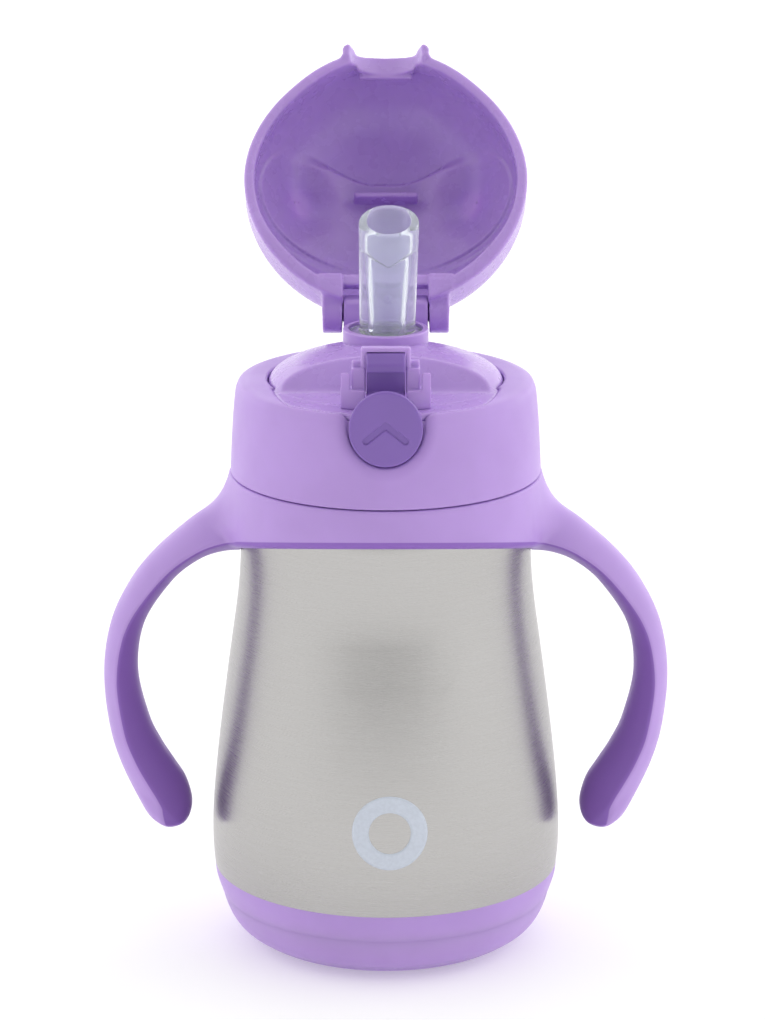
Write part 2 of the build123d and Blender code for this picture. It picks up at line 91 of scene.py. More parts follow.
def join(a, b, blend=0.0):
    """Both shapes, with a fillet of about that size where they meet."""
    if np.ndim(blend) == 0 and blend <= 0:
        return np.minimum(a, b)
    near = np.maximum(blend - np.abs(a - b), 0) / blend
    return np.minimum(a, b) - near * near * blend / 4


def meet(a, b, blend=0.0):
    """What is in both shapes."""
    return -join(-a, -b, blend)


def cut(a, b, blend=0.0):
    """The first shape without the second."""
    return meet(a, -b, blend)


def ramp(value, start, end):
    """A smooth step from 0 at start to 1 at end."""
    t = np.clip((value - start) / (end - start), 0, 1)
    return t * t * (3 - 2 * t)


def block(p, low, high, edge=0.3):
    """A box between two corners with rounded edges."""
    low, high = np.array(low, float), np.array(high, float)
    q = np.abs(p - (low + high) / 2) - ((high - low) / 2 - edge)
    outside = np.linalg.norm(np.maximum(q, 0), axis=1)
    return outside + np.minimum(q.max(axis=1), 0) - edge


def mirrored(p):
    """The points with those on the -X side moved to their mirror image."""
    across = p.copy()
    across[:, 0] = np.abs(p[:, 0])
    return across


def twin_block(p, low, high, edge=0.3):
    """A box given on the +X side, and its mirror image."""
    return block(mirrored(p), low, high, edge)


def rod(p, axis, centre, radius, low, high, edge=0.0):
    """A cylinder along an axis, through the other two coordinates in centre."""
    others = [i for i in range(3) if i != axis]
    across = np.hypot(p[:, others[0]] - centre[0], p[:, others[1]] - centre[1]) - (radius - edge)
    along = np.abs(p[:, axis] - (low + high) / 2) - ((high - low) / 2 - edge)
    outside = np.hypot(np.maximum(across, 0), np.maximum(along, 0))
    return np.minimum(np.maximum(across, along), 0) + outside - edge


def bowl(p, radius, height, base_z):
    """A half ellipsoid that stands on an endless cylinder."""
    r = np.hypot(p[:, 0], p[:, 1])
    z = np.maximum(p[:, 2] - base_z, 0)
    near = np.hypot(r / radius, z / height)
    slope = np.hypot(r / radius**2, z / height**2)
    return near * (near - 1) / np.maximum(slope, 1e-4)


def sample(field, low, high, step, cells=8):
    """Values of a field on a grid; blocks of cells far from the surface get one value each."""
    blocks = np.ceil((np.array(high, float) - low) / (step * cells)).astype(int)
    centre = np.stack(np.meshgrid(*[np.arange(n) for n in blocks], indexing="ij"), -1).reshape(-1, 3)
    coarse = field(np.array(low) + (centre + 0.5) * cells * step)
    values = np.repeat(coarse, cells**3).reshape(-1, cells, cells, cells)
    near = np.abs(coarse) < cells * step * 1.6
    inner = np.stack(np.meshgrid(*[np.arange(cells)] * 3, indexing="ij"), -1).reshape(-1, 3)
    spots = centre[near][:, None, :] * cells + inner[None]
    values[near] = field(np.array(low) + spots.reshape(-1, 3) * step).reshape(-1, cells, cells, cells)
    nx, ny, nz = blocks
    grid = values.reshape(nx, ny, nz, cells, cells, cells).transpose(0, 3, 1, 4, 2, 5)
    return grid.reshape(nx * cells, ny * cells, nz * cells)


def net(values, low, step):
    """Vertices and quads on the zero level of sampled values, by surface nets."""
    inside = values < 0
    corner_count = np.zeros([n - 1 for n in values.shape], np.int8)
    for corner in product((0, 1), repeat=3):
        corner_count += inside[tuple(slice(c, n - 1 + c) for c, n in zip(corner, values.shape))]
    cells = np.argwhere((corner_count > 0) & (corner_count < 8))
    number = np.full(corner_count.shape, -1, np.int32)
    number[tuple(cells.T)] = np.arange(len(cells))
    total = np.zeros((len(cells), 3))
    hits = np.zeros(len(cells))
    units = np.eye(3, dtype=int)
    for axis in range(3):
        for pair in product((0, 1), repeat=2):
            first = cells + np.insert(pair, axis, 0)
            v0 = values[tuple(first.T)]
            v1 = values[tuple((first + units[axis]).T)]
            crossed = (v0 < 0) != (v1 < 0)
            share = v0[crossed] / (v0[crossed] - v1[crossed])
            total[crossed] += first[crossed] + share[:, None] * units[axis]
            hits[crossed] += 1
    points = np.array(low) + step * total / hits[:, None]
    quads = []
    for axis in range(3):
        u, v = units[(axis + 1) % 3], units[(axis + 2) % 3]
        here = np.take(inside, range(inside.shape[axis] - 1), axis)
        ahead = np.take(inside, range(1, inside.shape[axis]), axis)
        edges = np.argwhere(here != ahead)
        solid_first = here[tuple(edges.T)]
        ring = [edges - u - v, edges - v, edges, edges - u]
        quad = np.stack([number[tuple(c.T)] for c in ring], 1)
        quad[~solid_first] = quad[~solid_first][:, ::-1]
        quads.append(quad)
    return points, np.concatenate(quads)


def settle(points, field, step):
    """Moves the vertices onto the true surface."""
    for _ in range(2):
        reach = step * 0.25
        slope = np.stack(
            [field(points + axis * reach) - field(points - axis * reach) for axis in np.eye(3)], 1
        ) / (2 * reach)
        size = np.maximum((slope**2).sum(1), 0.25)
        move = -(field(points) / size)[:, None] * slope
        points = points + np.clip(move, -step * 0.4, step * 0.4)
    return points


def mesh_object(name, points, faces):
    """An object from points in mm and equal-sided faces, smooth shaded."""
    faces = np.asarray(faces)
    sides = faces.shape[1]
    mesh = bpy.data.meshes.new(name)
    mesh.vertices.add(len(points))
    mesh.vertices.foreach_set("co", (np.asarray(points) * MM).ravel().astype(np.float32))
    mesh.loops.add(faces.size)
    mesh.loops.foreach_set("vertex_index", faces.ravel().astype(np.int32))
    mesh.polygons.add(len(faces))
    mesh.polygons.foreach_set("loop_start", np.arange(0, faces.size, sides, dtype=np.int32))
    mesh.update(calc_edges=True)
    mesh.validate()
    mesh.shade_smooth()
    piece = bpy.data.objects.new(name, mesh)
    bpy.context.scene.collection.objects.link(piece)
    return piece


def moulded(name, field, low, high, step):
    """A piece whose surface is the zero level of a field."""
    low = np.array(low, float) - 1.5 * step
    high = np.array(high, float) + 2.5 * step
    points, quads = net(sample(field, low, high, step), low, step)
    return mesh_object(name, settle(points, field, step), quads)


def mark(piece, name, values):
    """Stores one number for each vertex, for the material to read."""
    layer = piece.data.attributes.new(name, "FLOAT", "POINT")
    layer.data.foreach_set("value", np.asarray(values, np.float32))


def points_of(piece):
    """A piece's vertices, in mm."""
    co = np.zeros(len(piece.data.vertices) * 3)
    piece.data.vertices.foreach_get("co", co)
    return co.reshape(-1, 3) / MM


def finish_piece(piece, body, slot, material, *replaced):
    """Gives a piece its material, body and the CAD nodes it stands for; the slot argument is not used."""
    piece.data.materials.clear()
    piece.data.materials.append(material)
    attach(piece, body)
    if replaced:
        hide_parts(*replaced)


# Curves

def smooth_line(points, count=24):
    """A Catmull-Rom line through 2-D points."""
    p = np.array(points, float)
    p = np.vstack([2 * p[0] - p[1], p, 2 * p[-1] - p[-2]])
    t = np.linspace(0, 1, count, endpoint=False)[:, None]
    parts = []
    for a, b, c, d in zip(p[:-3], p[1:-2], p[2:-1], p[3:]):
        parts.append(
            0.5 * (2 * b + (c - a) * t + (2 * a - 5 * b + 4 * c - d) * t**2 + (3 * b - a - 3 * c + d) * t**3)
        )
    parts.append(p[-2:-1])
    return np.concatenate(parts)


# Materials

def new_material(name):
    """An empty node material with its shader and output."""
    material = bpy.data.materials.new(name)
    material.use_nodes = True
    tree = material.node_tree
    tree.nodes.clear()
    shader = tree.nodes.new("ShaderNodeBsdfPrincipled")
    output = tree.nodes.new("ShaderNodeOutputMaterial")
    tree.links.new(shader.outputs[0], output.inputs["Surface"])
    return material, tree, shader


def noise(tree, scale, detail=2.0, stretch=(1, 1, 1)):
    """A noise pattern in the object's own coordinates, in 1/m."""
    place = tree.nodes.new("ShaderNodeTexCoord")
    mapping = tree.nodes.new("ShaderNodeMapping")
    mapping.inputs["Scale"].default_value = stretch
    texture = tree.nodes.new("ShaderNodeTexNoise")
    texture.inputs["Scale"].default_value = scale
    texture.inputs["Detail"].default_value = detail
    tree.links.new(place.outputs["Object"], mapping.inputs["Vector"])
    tree.links.new(mapping.outputs["Vector"], texture.inputs["Vector"])
    return texture.outputs["Fac"]


def mapped(tree, value, low, high, start=0.0, end=1.0):
    """A value moved from the range start..end to low..high."""
    node = tree.nodes.new("ShaderNodeMapRange")
    node.interpolation_type = "SMOOTHSTEP"
    for socket, number in zip(("From Min", "From Max", "To Min", "To Max"), (start, end, low, high)):
        node.inputs[socket].default_value = number
    tree.links.new(value, node.inputs["Value"])
    return node.outputs["Result"]


def mixed(tree, factor, first, second):
    """A colour between two colours, each a tuple or a socket."""
    node = tree.nodes.new("ShaderNodeMix")
    node.data_type = "RGBA"
    tree.links.new(factor, node.inputs["Factor"])
    for socket, colour in ((node.inputs["A"], first), (node.inputs["B"], second)):
        if isinstance(colour, tuple):
            socket.default_value = (*colour, 1)
        else:
            tree.links.new(colour, socket)
    return node.outputs["Result"]


def bump(tree, shader, height, strength, distance):
    """Raises the surface by a height pattern."""
    node = tree.nodes.new("ShaderNodeBump")
    node.inputs["Strength"].default_value = strength
    node.inputs["Distance"].default_value = distance
    tree.links.new(height, node.inputs["Height"])
    tree.links.new(node.outputs["Normal"], shader.inputs["Normal"])


def shade(colour, factor):
    """A colour made lighter or darker."""
    return tuple(c * factor for c in colour)


LILAC = (0.47, 0.30, 0.70)
# The darker lilac below is painted shade for the handles' inner faces and the ring's lower edge.
LILAC_SHADED = (0.26, 0.12, 0.50)
VIOLET = (0.22, 0.12, 0.44)


def plastic(name, colour, roughness, painted_shade=None, grain=0.05):
    """Moulded polypropylene: faint colour drift, fine grain, and a little light through it; a second colour,
    if given, is painted shade where the mesh's marked attribute is above zero.
    """
    material, tree, shader = new_material(name)
    drift = mapped(tree, noise(tree, 60.0, 3.0), 0.0, 1.0, 0.3, 0.7)
    base = mixed(tree, drift, shade(colour, 0.97), shade(colour, 1.03))
    # Painted shade: the darker colour is mixed in where the per-vertex attribute is above zero, on faces that
    # turn down or inwards.
    if painted_shade:
        shade_zone = tree.nodes.new("ShaderNodeAttribute")
        shade_zone.attribute_name = "painted_shade"
        edge = mapped(tree, shade_zone.outputs["Fac"], 0.0, 1.0, -0.12, 0.12)
        base = mixed(tree, edge, base, painted_shade)
    tree.links.new(base, shader.inputs["Base Color"])
    worn = mapped(tree, noise(tree, 220.0, 4.0), roughness - 0.03, roughness + 0.04, 0.3, 0.7)
    tree.links.new(worn, shader.inputs["Roughness"])
    bump(tree, shader, noise(tree, 2600.0, 2.0), grain, 0.0001)
    shader.inputs["IOR"].default_value = 1.49
    shader.inputs["Subsurface Weight"].default_value = 0.18
    shader.inputs["Subsurface Radius"].default_value = (1.0, 0.55, 1.1)
    shader.inputs["Subsurface Scale"].default_value = 0.002
    return material


def brushed_steel(name, roughness=0.27, tone=0.47):
    """Stainless steel brushed round the body, so reflections stay sharp sideways and smear upwards."""
    material, tree, shader = new_material(name)
    lines = mapped(tree, noise(tree, 60.0, 5.0, (1, 1, 130)), 0, 1, 0.3, 0.7)
    base = mixed(tree, lines, (tone * 0.985, tone * 0.965, tone * 0.94), (tone * 1.015, tone, tone * 0.98))
    tree.links.new(base, shader.inputs["Base Color"])
    fine = noise(tree, 160.0, 3.0, (1, 1, 90))
    rough = mapped(tree, fine, roughness - 0.02, roughness + 0.03, 0.3, 0.7)
    tree.links.new(rough, shader.inputs["Roughness"])
    shader.inputs["Metallic"].default_value = 1.0
    shader.inputs["Anisotropic"].default_value = 0.75
    tangent = tree.nodes.new("ShaderNodeTangent")
    tangent.direction_type = "RADIAL"
    tangent.axis = "Z"
    tree.links.new(tangent.outputs[0], shader.inputs["Tangent"])
    bump(tree, shader, fine, 0.01, 0.0001)
    return material


def plain_metal(name, colour, roughness):
    """Bare metal with a slightly uneven surface."""
    material, tree, shader = new_material(name)
    drift = mapped(tree, noise(tree, 300.0, 4.0), 0, 1, 0.3, 0.7)
    tree.links.new(mixed(tree, drift, shade(colour, 0.93), shade(colour, 1.05)), shader.inputs["Base Color"])
    tree.links.new(
        mapped(tree, noise(tree, 700.0, 3.0), roughness - 0.05, roughness + 0.08, 0.3, 0.7),
        shader.inputs["Roughness"],
    )
    shader.inputs["Metallic"].default_value = 1.0
    return material


def clear(name, colour, roughness, ior, haze=0.0):
    """Clear silicone or plastic with a faint unevenness, and a little milkiness if it has haze."""
    material, tree, shader = new_material(name)
    drift = mapped(tree, noise(tree, 160.0, 2.0), 0, 1, 0.3, 0.7)
    tree.links.new(mixed(tree, drift, shade(colour, 0.98), colour), shader.inputs["Base Color"])
    tree.links.new(
        mapped(tree, noise(tree, 500.0, 3.0), roughness - 0.02, roughness + 0.03, 0.3, 0.7),
        shader.inputs["Roughness"],
    )
    bump(tree, shader, noise(tree, 340.0, 2.0), 0.08, 0.0002)
    shader.inputs["Transmission Weight"].default_value = 1.0 - haze
    shader.inputs["IOR"].default_value = ior
    return material


def soft_white(name, colour):
    """Translucent white silicone of the seal and valve."""
    material, tree, shader = new_material(name)
    drift = mapped(tree, noise(tree, 200.0, 3.0), 0, 1, 0.3, 0.7)
    tree.links.new(mixed(tree, drift, shade(colour, 0.96), colour), shader.inputs["Base Color"])
    tree.links.new(mapped(tree, noise(tree, 900.0, 2.0), 0.38, 0.5, 0.3, 0.7), shader.inputs["Roughness"])
    shader.inputs["Subsurface Weight"].default_value = 0.4
    shader.inputs["Subsurface Scale"].default_value = 0.002
    return material


def print_ink(name, colour):
    """Screen-printed ink on the steel."""
    material, tree, shader = new_material(name)
    drift = mapped(tree, noise(tree, 1200.0, 4.0), 0, 1, 0.35, 0.65)
    tree.links.new(mixed(tree, drift, shade(colour, 0.96), shade(colour, 1.02)), shader.inputs["Base Color"])
    tree.links.new(mapped(tree, noise(tree, 900.0, 3.0), 0.4, 0.5, 0.3, 0.7), shader.inputs["Roughness"])
    bump(tree, shader, noise(tree, 3000.0, 2.0), 0.1, 0.00005)
    return material


# Camera and stage

ROOM_MIDDLE, ROOM_LEFT, ROOM_RIGHT = 0.05, 1.25, 1.5
ROOM_TOP, ROOM_BACK = 0.8, 1.4
FLOOR_GLOW = 0.30
FLOOR_HALF = 30.0


CAMERA_PLACE = (0.0, -0.9302, 0.3639)
CAMERA_PITCH = math.radians(74.274)
CAMERA_LENS, CAMERA_SENSOR, CAMERA_SHIFT = 149.0, 36.0, -0.0032


def make_camera():
    """A long lens, a little above the cup and straight in front of it."""
    camera = bpy.data.objects.new("camera", bpy.data.cameras.new("camera"))
    bpy.context.scene.collection.objects.link(camera)
    camera.location = CAMERA_PLACE
    camera.rotation_euler = Euler((CAMERA_PITCH, 0, 0))
    camera.data.lens = CAMERA_LENS
    camera.data.sensor_width = CAMERA_SENSOR
    camera.data.shift_x = CAMERA_SHIFT
    bpy.context.scene.camera = camera


def make_room():
    """A white room that is darkest in front and brighter towards the sides, the ceiling and the back."""
    world = bpy.data.worlds.new("studio")
    world.use_nodes = True
    tree = world.node_tree
    place = tree.nodes.new("ShaderNodeTexCoord")
    split = tree.nodes.new("ShaderNodeSeparateXYZ")
    tree.links.new(place.outputs["Generated"], split.inputs[0])
    total = mapped(tree, split.outputs["X"], ROOM_LEFT, 0.0, -0.95, -0.3)
    for value in (
        mapped(tree, split.outputs["X"], ROOM_MIDDLE, ROOM_MIDDLE + ROOM_RIGHT, 0.3, 0.95),
        mapped(tree, split.outputs["Z"], 0.0, ROOM_TOP, 0.2, 0.95),
        mapped(tree, split.outputs["Y"], 0.0, ROOM_BACK, 0.2, 0.9),
    ):
        added = tree.nodes.new("ShaderNodeMath")
        tree.links.new(total, added.inputs[0])
        tree.links.new(value, added.inputs[1])
        total = added.outputs[0]
    tree.links.new(total, tree.nodes["Background"].inputs["Strength"])
    tree.nodes["Background"].inputs["Color"].default_value = (1, 1, 1, 1)
    bpy.context.scene.world = world


def make_floor():
    """A wide matt white floor."""
    corners = np.array([(-1, -1, 0), (1, -1, 0), (1, 1, 0), (-1, 1, 0)]) * FLOOR_HALF
    floor = mesh_object("floor", corners / MM, [(0, 1, 2, 3)])
    material, tree, shader = new_material("floor_white")
    drift = mapped(tree, noise(tree, 8.0, 2.0), 0, 1, 0.3, 0.7)
    tree.links.new(mixed(tree, drift, (0.74, 0.735, 0.74), (0.76, 0.755, 0.76)), shader.inputs["Base Color"])
    shader.inputs["Roughness"].default_value = 0.9
    shader.inputs["Specular IOR Level"].default_value = 0.1
    shader.inputs["Emission Color"].default_value = (1, 1, 1, 1)
    shader.inputs["Emission Strength"].default_value = FLOOR_GLOW
    floor.data.materials.append(material)


# Handle ring

RING_R = 35.5
RING_FOOT_R = 36.1
RING_TOP = RING_HIGH[2]
RING_SIDE_Z = 93.0
RING_RISE = 0.28
# Height in mm of the band of painted shade along the ring's lower edge.
RING_SHADE_BAND = 1.5
OUTER_LINE = [
    (20.0, 116.6), (28.0, 111.6), (34.4, 107.4), (38.5, 104.3), (45.2, 99.6), (53.2, 92.4), (58.8, 85.2),
    (63.3, 75.6), (65.15, 64.0), (64.2, 51.3), (61.6, 41.5), (57.0, 31.6), (54.2, 27.9), (50.4, 25.65),
    (46.2, 25.2), (42.0, 25.0),
]
INNER_LINE = [
    (58.6, 25.4), (54.4, 25.2), (50.4, 25.65), (46.6, 27.2), (45.15, 31.4), (46.5, 37.2), (49.2, 41.7),
    (52.1, 46.4), (54.9, 52.6), (57.3, 64.0), (55.5, 75.6), (49.2, 85.2), (43.4, 90.0), (38.1, 92.1),
    (32.0, 92.6), (20.0, 92.6),
]
# Along the handle from its root: share of the depth that the outer face takes, and half the width
CREASE_AT = (
    [0.0, 0.12, 0.28, 0.40, 0.50, 0.60, 0.72, 0.85, 1.0],
    [0.90, 0.86, 0.73, 0.60, 0.47, 0.41, 0.38, 0.40, 0.45],
)
ROOT_TILT, ROOT_TILT_ENDS = 0.28, (0.12, 0.45)
RING_BORE = (
    [86.0, 91.0, 95.0, 101.0, 103.5, 106.7, 109.6, 112.0],
    [33.8, 33.42, 33.3, 33.3, 32.7, 31.6, 30.4, 30.4],
)
WIDTH_AT = ([0.0, 0.12, 0.28, 0.45, 0.8, 1.0], [13.0, 10.5, 8.6, 7.4, 7.4, 7.0])


def line_distance(line, x, z):
    """Distance to the right-hand side of a line, negative on its left, and the place along it from 0 to 1."""
    best = np.full(x.shape, 1e9)
    side = np.zeros(x.shape)
    place = np.zeros(x.shape)
    steps = np.linalg.norm(np.diff(line, axis=0), axis=1)
    run = np.concatenate([[0], np.cumsum(steps)])
    for i, (a, b) in enumerate(zip(line[:-1], line[1:])):
        dx, dz = b - a
        t = np.clip(((x - a[0]) * dx + (z - a[1]) * dz) / steps[i] ** 2, 0, 1)
        away = np.hypot(x - a[0] - t * dx, z - a[1] - t * dz)
        closer = away < best
        best[closer] = away[closer]
        side[closer] = ((z - a[1]) * dx - (x - a[0]) * dz)[closer]
        place[closer] = ((run[i] + t * steps[i]) / run[-1])[closer]
    return np.where(side > 0, -best, best), place


class HandleMap:
    """Distances from the handle's outer and inner lines, tabled over the XZ plane."""

    step = 0.5
    low = np.array([18.0, 20.0])
    high = np.array([70.0, 120.0])

    def __init__(self):
        x = np.arange(self.low[0], self.high[0], self.step)
        z = np.arange(self.low[1], self.high[1], self.step)
        gx, gz = np.meshgrid(x, z, indexing="ij")
        outer, place = line_distance(smooth_line(OUTER_LINE, 10), gx, gz)
        inner, _ = line_distance(smooth_line(INNER_LINE, 10), gx, gz)
        self.table = np.stack([outer, inner, place], -1)

    def at(self, x, z):
        """Depth below the outer line, depth below the inner line, and the place along the handle."""
        spot = (np.stack([x, z], 1) - self.low) / self.step
        spot = np.clip(spot, 0, np.array(self.table.shape[:2]) - 1.001)
        cell = spot.astype(int)
        fx, fz = (spot - cell).T[:, :, None]
        i, j = cell.T
        t = self.table
        low = t[i, j] * (1 - fx) + t[i + 1, j] * fx
        high = t[i, j + 1] * (1 - fx) + t[i + 1, j + 1] * fx
        return (low * (1 - fz) + high * fz).T


handle_map = HandleMap()


def handle_faces(p):
    """How far outside the handle's outer face and inner face each point is."""
    x, y, z = np.abs(p[:, 0]), p[:, 1], p[:, 2]
    outer, inner, place = handle_map.at(x, z)
    crease = np.interp(place, *CREASE_AT)
    half = np.interp(place, *WIDTH_AT)
    thick = np.clip(outer + inner, 4.0, 18.0)
    rise = np.abs(y / half)
    outer_face = crease * thick * rise**2.2 - outer
    tilt = ROOT_TILT * (1 - ramp(place, *ROOT_TILT_ENDS))
    inner_face = (1 - crease) * thick * rise**2.4 + tilt * np.abs(y) - inner
    outer_slope = np.hypot(1, crease * thick * 2.2 * np.minimum(rise, 1.3) ** 1.2 / half)
    inner_slope = np.hypot(1, (1 - crease) * thick * 2.4 * np.minimum(rise, 1.3) ** 1.4 / half)
    return outer_face / outer_slope, inner_face / inner_slope


def ring_edge(p):
    """How far each point is under the ring's lower edge, which sweeps up at the front and back."""
    return RING_SIDE_Z + RING_RISE * np.abs(p[:, 1]) - p[:, 2]


def ring_field(p):
    """The ring round the shoulder, joined to its two handles."""
    r = np.hypot(p[:, 0], p[:, 1])
    outer_face, inner_face = handle_faces(p)
    handle = meet(outer_face, inner_face, 0.8)
    wall = np.interp(p[:, 2], [90, 100, RING_TOP], [RING_FOOT_R, RING_FOOT_R - 0.1, RING_R])
    drum = meet(r - wall, p[:, 2] - RING_TOP, 0.6)
    drum = meet(drum, ring_edge(p) * 0.96, 1.6)
    fillet = 0.6 + 5.4 * ramp(p[:, 2], 95.0, 101.0)
    both = join(drum, meet(handle, 30.0 - r), fillet)
    both = meet(both, p[:, 2] - RING_TOP, 0.5)
    return cut(both, r - np.interp(p[:, 2], *RING_BORE), 0.3)


def make_handle_ring(material):
    piece = moulded("handle_ring_moulded", ring_field, RING_LOW, RING_HIGH, 0.5)
    p = points_of(piece)
    # Painted shade: the mark is positive on the handles' inner faces and in a thin band along the ring's
    # lower edge, where faces turn down and in towards the steel, and the material darkens them there.
    outer_face, inner_face = handle_faces(p)
    on_handle = ramp(np.abs(p[:, 0]), 33.5, 37.5)
    shade_on_ring_edge = ring_edge(p) + RING_SHADE_BAND
    mark(piece, "painted_shade", (inner_face - outer_face) * on_handle + shade_on_ring_edge * (1 - on_handle))
    finish_piece(piece, "bottle", "ring_lilac", material, "handle_ring")


# Flip lid, drawn closed and then turned open about the hinge pin

LID_R = 33.4
LID_WALL, RIM_WALL, CROWN_WALL = 1.9, 2.5, 1.2
LID_RIM_Z = 133.6
LID_STRAIGHT_Z = 142.0
LID_CROWN = 19.8
# Share of the full radius at each angle from the front, in degrees: the front is a little pointed
LID_PLAN = [
    (-20, 0.957), (0, 0.958), (20, 0.952), (42, 0.938), (56, 0.948), (70, 0.969), (85, 0.992), (100, 1.0),
    (140, 1.0), (180, 1.0),
]
LID_PLAN_LINE = smooth_line(LID_PLAN, 12).T
STEP_Y, STEP_SWEEP, STEP_SOFT = -8.4, 3.9, 1.6
PLATFORM_X, PLATFORM_BACK, PLATFORM_Y = 29.8, 2.2, 18.3
HOLLOW_X, HOLLOW_Y, HOLLOW_LEAN, HOLLOW_WIDE, HOLLOW_LONG = 19.9, 1.9, 0.35, 9.6, 13.0
SCOOP_R, LIP_WALL, LIP_FOOT_Z = 9.2, 1.5, 133.3
LIP_FRONT, LIP_BACK, LIP_SIDE_SHORTER, LIP_SIDE = -33.0, -27.8, 2.3, (6.4, 7.6)
HORN_X, HORN_Y, HORN_R, HORN_LOW, HORN_HIGH = 8.75, -31.6, 1.5, 133.15, 138.5
HORN_HOLLOW_X, HORN_HOLLOW_Y, HORN_HOLLOW_R = 14.0, -36.6, 5.3
CATCH_LOW, CATCH_HIGH = (-6.35, -31.0, 139.4), (6.35, -27.15, 141.0)
STOP_LOW, STOP_HIGH = (-7.6, -4.0, 154.2), (7.6, -2.8, 160.4)
ARM_R = 4.5
ARM_IN, ARM_OUT = 10.2, 14.75
ARM_SLOPE = math.radians(20.0)
BAR_Y, BAR_BACK = 25.4, 28.1
BAR_LOW, BAR_HIGH = 134.4, 137.6
PIN_R = 1.92
LATCH_GAP = 0.5


def in_plan(p):
    """Points moved out to where they would be on a round lid."""
    angle = np.degrees(np.arctan2(np.abs(p[:, 0]), -p[:, 1]))
    share = np.interp(angle, *LID_PLAN_LINE)[:, None]
    return np.concatenate([p[:, :2] / share, p[:, 2:]], 1)


def lid_inside_rise(p):
    """How far the inside stands proud of the plain dome: a platform behind a step, with two hollows."""
    x, y = np.abs(p[:, 0]), p[:, 1]
    step_y = STEP_Y - STEP_SWEEP * ramp(x, 3.0, 19.0)
    soft = STEP_SOFT * ramp(x, 9.0, 20.0)
    behind = ramp(y, step_y - 0.2 - soft, step_y + 1.0 + soft)
    edge = np.hypot(x / PLATFORM_X, (y + PLATFORM_BACK) / PLATFORM_Y)
    within = (1 - 0.75 * ramp(edge, 0.55, 1.0)) * (1 - ramp(edge, 0.985, 1.02))
    across, back = x - HOLLOW_X, y + HOLLOW_Y
    wide = (across * math.cos(HOLLOW_LEAN) + back * math.sin(HOLLOW_LEAN)) / HOLLOW_WIDE
    long = (-across * math.sin(HOLLOW_LEAN) + back * math.cos(HOLLOW_LEAN)) / HOLLOW_LONG
    hollow = 1 - ramp(np.hypot(wide, long), 0.1, 1.0)
    height = 1.0 + 2.2 * ramp(x, 6.0, 18.0)
    border = 0.3 * (1 - ramp(edge, 1.07, 1.11))
    dip = hollow * (3.9 + 0.9 * np.clip(long, -1, 1) - 0.5 * np.clip(wide, -1, 1))
    return behind * (height * within + border) - dip * behind


def lid_field(p):
    """The domed shell, its scoop with a lip and two horns, the rear bar, the arms, the catch, the stop."""
    plan = in_plan(p)
    outer = bowl(plan, LID_R, LID_CROWN, LID_STRAIGHT_Z)
    high = ramp(p[:, 2], LID_STRAIGHT_Z + 1.0, LID_STRAIGHT_Z + 5.0)
    rim = (RIM_WALL - LID_WALL) * (1 - ramp(p[:, 2], LID_RIM_Z + 1.0, LID_RIM_Z + 9.0))
    inner = bowl(plan, LID_R - LID_WALL, LID_CROWN - CROWN_WALL, LID_STRAIGHT_Z) + rim
    rear = 0.8 * ramp(p[:, 1], 8.0, 22.0) * (1 - ramp(p[:, 2], LID_RIM_Z + 2.0, LID_RIM_Z + 10.0))
    shell = cut(outer, inner + rear + 0.85 * lid_inside_rise(p) * high, 0.3)
    shell = meet(shell, LID_RIM_Z - p[:, 2], 1.0)
    across = mirrored(p)
    lip = rod(p, 1, (0, DISC_Z), SCOOP_R + LIP_WALL, LIP_FRONT, LIP_BACK, 0.3)
    lip = meet(lip, LIP_FOOT_Z - p[:, 2], 0.4)
    lip = meet(lip, p[:, 1] - LIP_BACK + LIP_SIDE_SHORTER * ramp(across[:, 0], *LIP_SIDE), 0.4)
    horn = rod(across, 2, (HORN_X, HORN_Y), HORN_R, HORN_LOW, HORN_HIGH, 0.3)
    hollow = np.hypot(across[:, 0] - HORN_HOLLOW_X, across[:, 1] - HORN_HOLLOW_Y) - HORN_HOLLOW_R
    horn = cut(horn, hollow, 0.3)
    front = join(meet(lip, outer, 0.4), horn, 0.9)
    shell = join(shell, front, 1.4)
    shell = cut(shell, rod(p, 1, (0, DISC_Z), SCOOP_R, -45.0, -20.0), 0.4)
    bar = meet(block(across, (-1.0, BAR_Y, LID_RIM_Z), (15.6, 34.0, BAR_HIGH), 0.4), outer + 0.2)
    bar = cut(bar, block(across, (-1.0, BAR_Y - 3, 120.0), (10.05, 40.0, BAR_LOW), 0.3), 0.5)
    shell = join(shell, bar, 0.6)
    shell = cut(shell, block(across, (-1.0, BAR_BACK, 120.0), (10.0, 40.0, 146.6), 0.3), 0.3)
    arm = rod(across, 0, (PIN_Y, PIN_Z), ARM_R, ARM_IN, ARM_OUT, 0.4)
    under = (p[:, 1] - 27.0) * math.sin(ARM_SLOPE) - (p[:, 2] - LID_RIM_Z) * math.cos(ARM_SLOPE)
    web = block(across, (ARM_IN, BAR_Y + 1.5, LID_RIM_Z), (ARM_OUT, PIN_Y + 1.4, PIN_Z + ARM_R), 0.4)
    web = meet(meet(web, under, 0.4), np.minimum(28.8 - p[:, 1], p[:, 2] - BAR_HIGH), 0.3)
    lid = join(shell, join(arm, web, 0.4), 0.7)
    lid = join(lid, meet(block(p, CATCH_LOW, CATCH_HIGH, 0.3), outer + 0.3), 0.4)
    lid = join(lid, meet(block(p, STOP_LOW, STOP_HIGH, 0.3), outer + 0.3), 0.5)
    return cut(lid, rod(across, 0, (PIN_Y, PIN_Z), PIN_R, 5.0, 20.0))


def opened(points):
    """Turns closed-lid points back to the open rest."""
    y, z = points[:, 1] - PIN_Y, points[:, 2] - PIN_Z
    c, s = math.cos(-OPEN_ANGLE), math.sin(-OPEN_ANGLE)
    return np.stack([points[:, 0], PIN_Y + c * y - s * z, PIN_Z + s * y + c * z], 1)


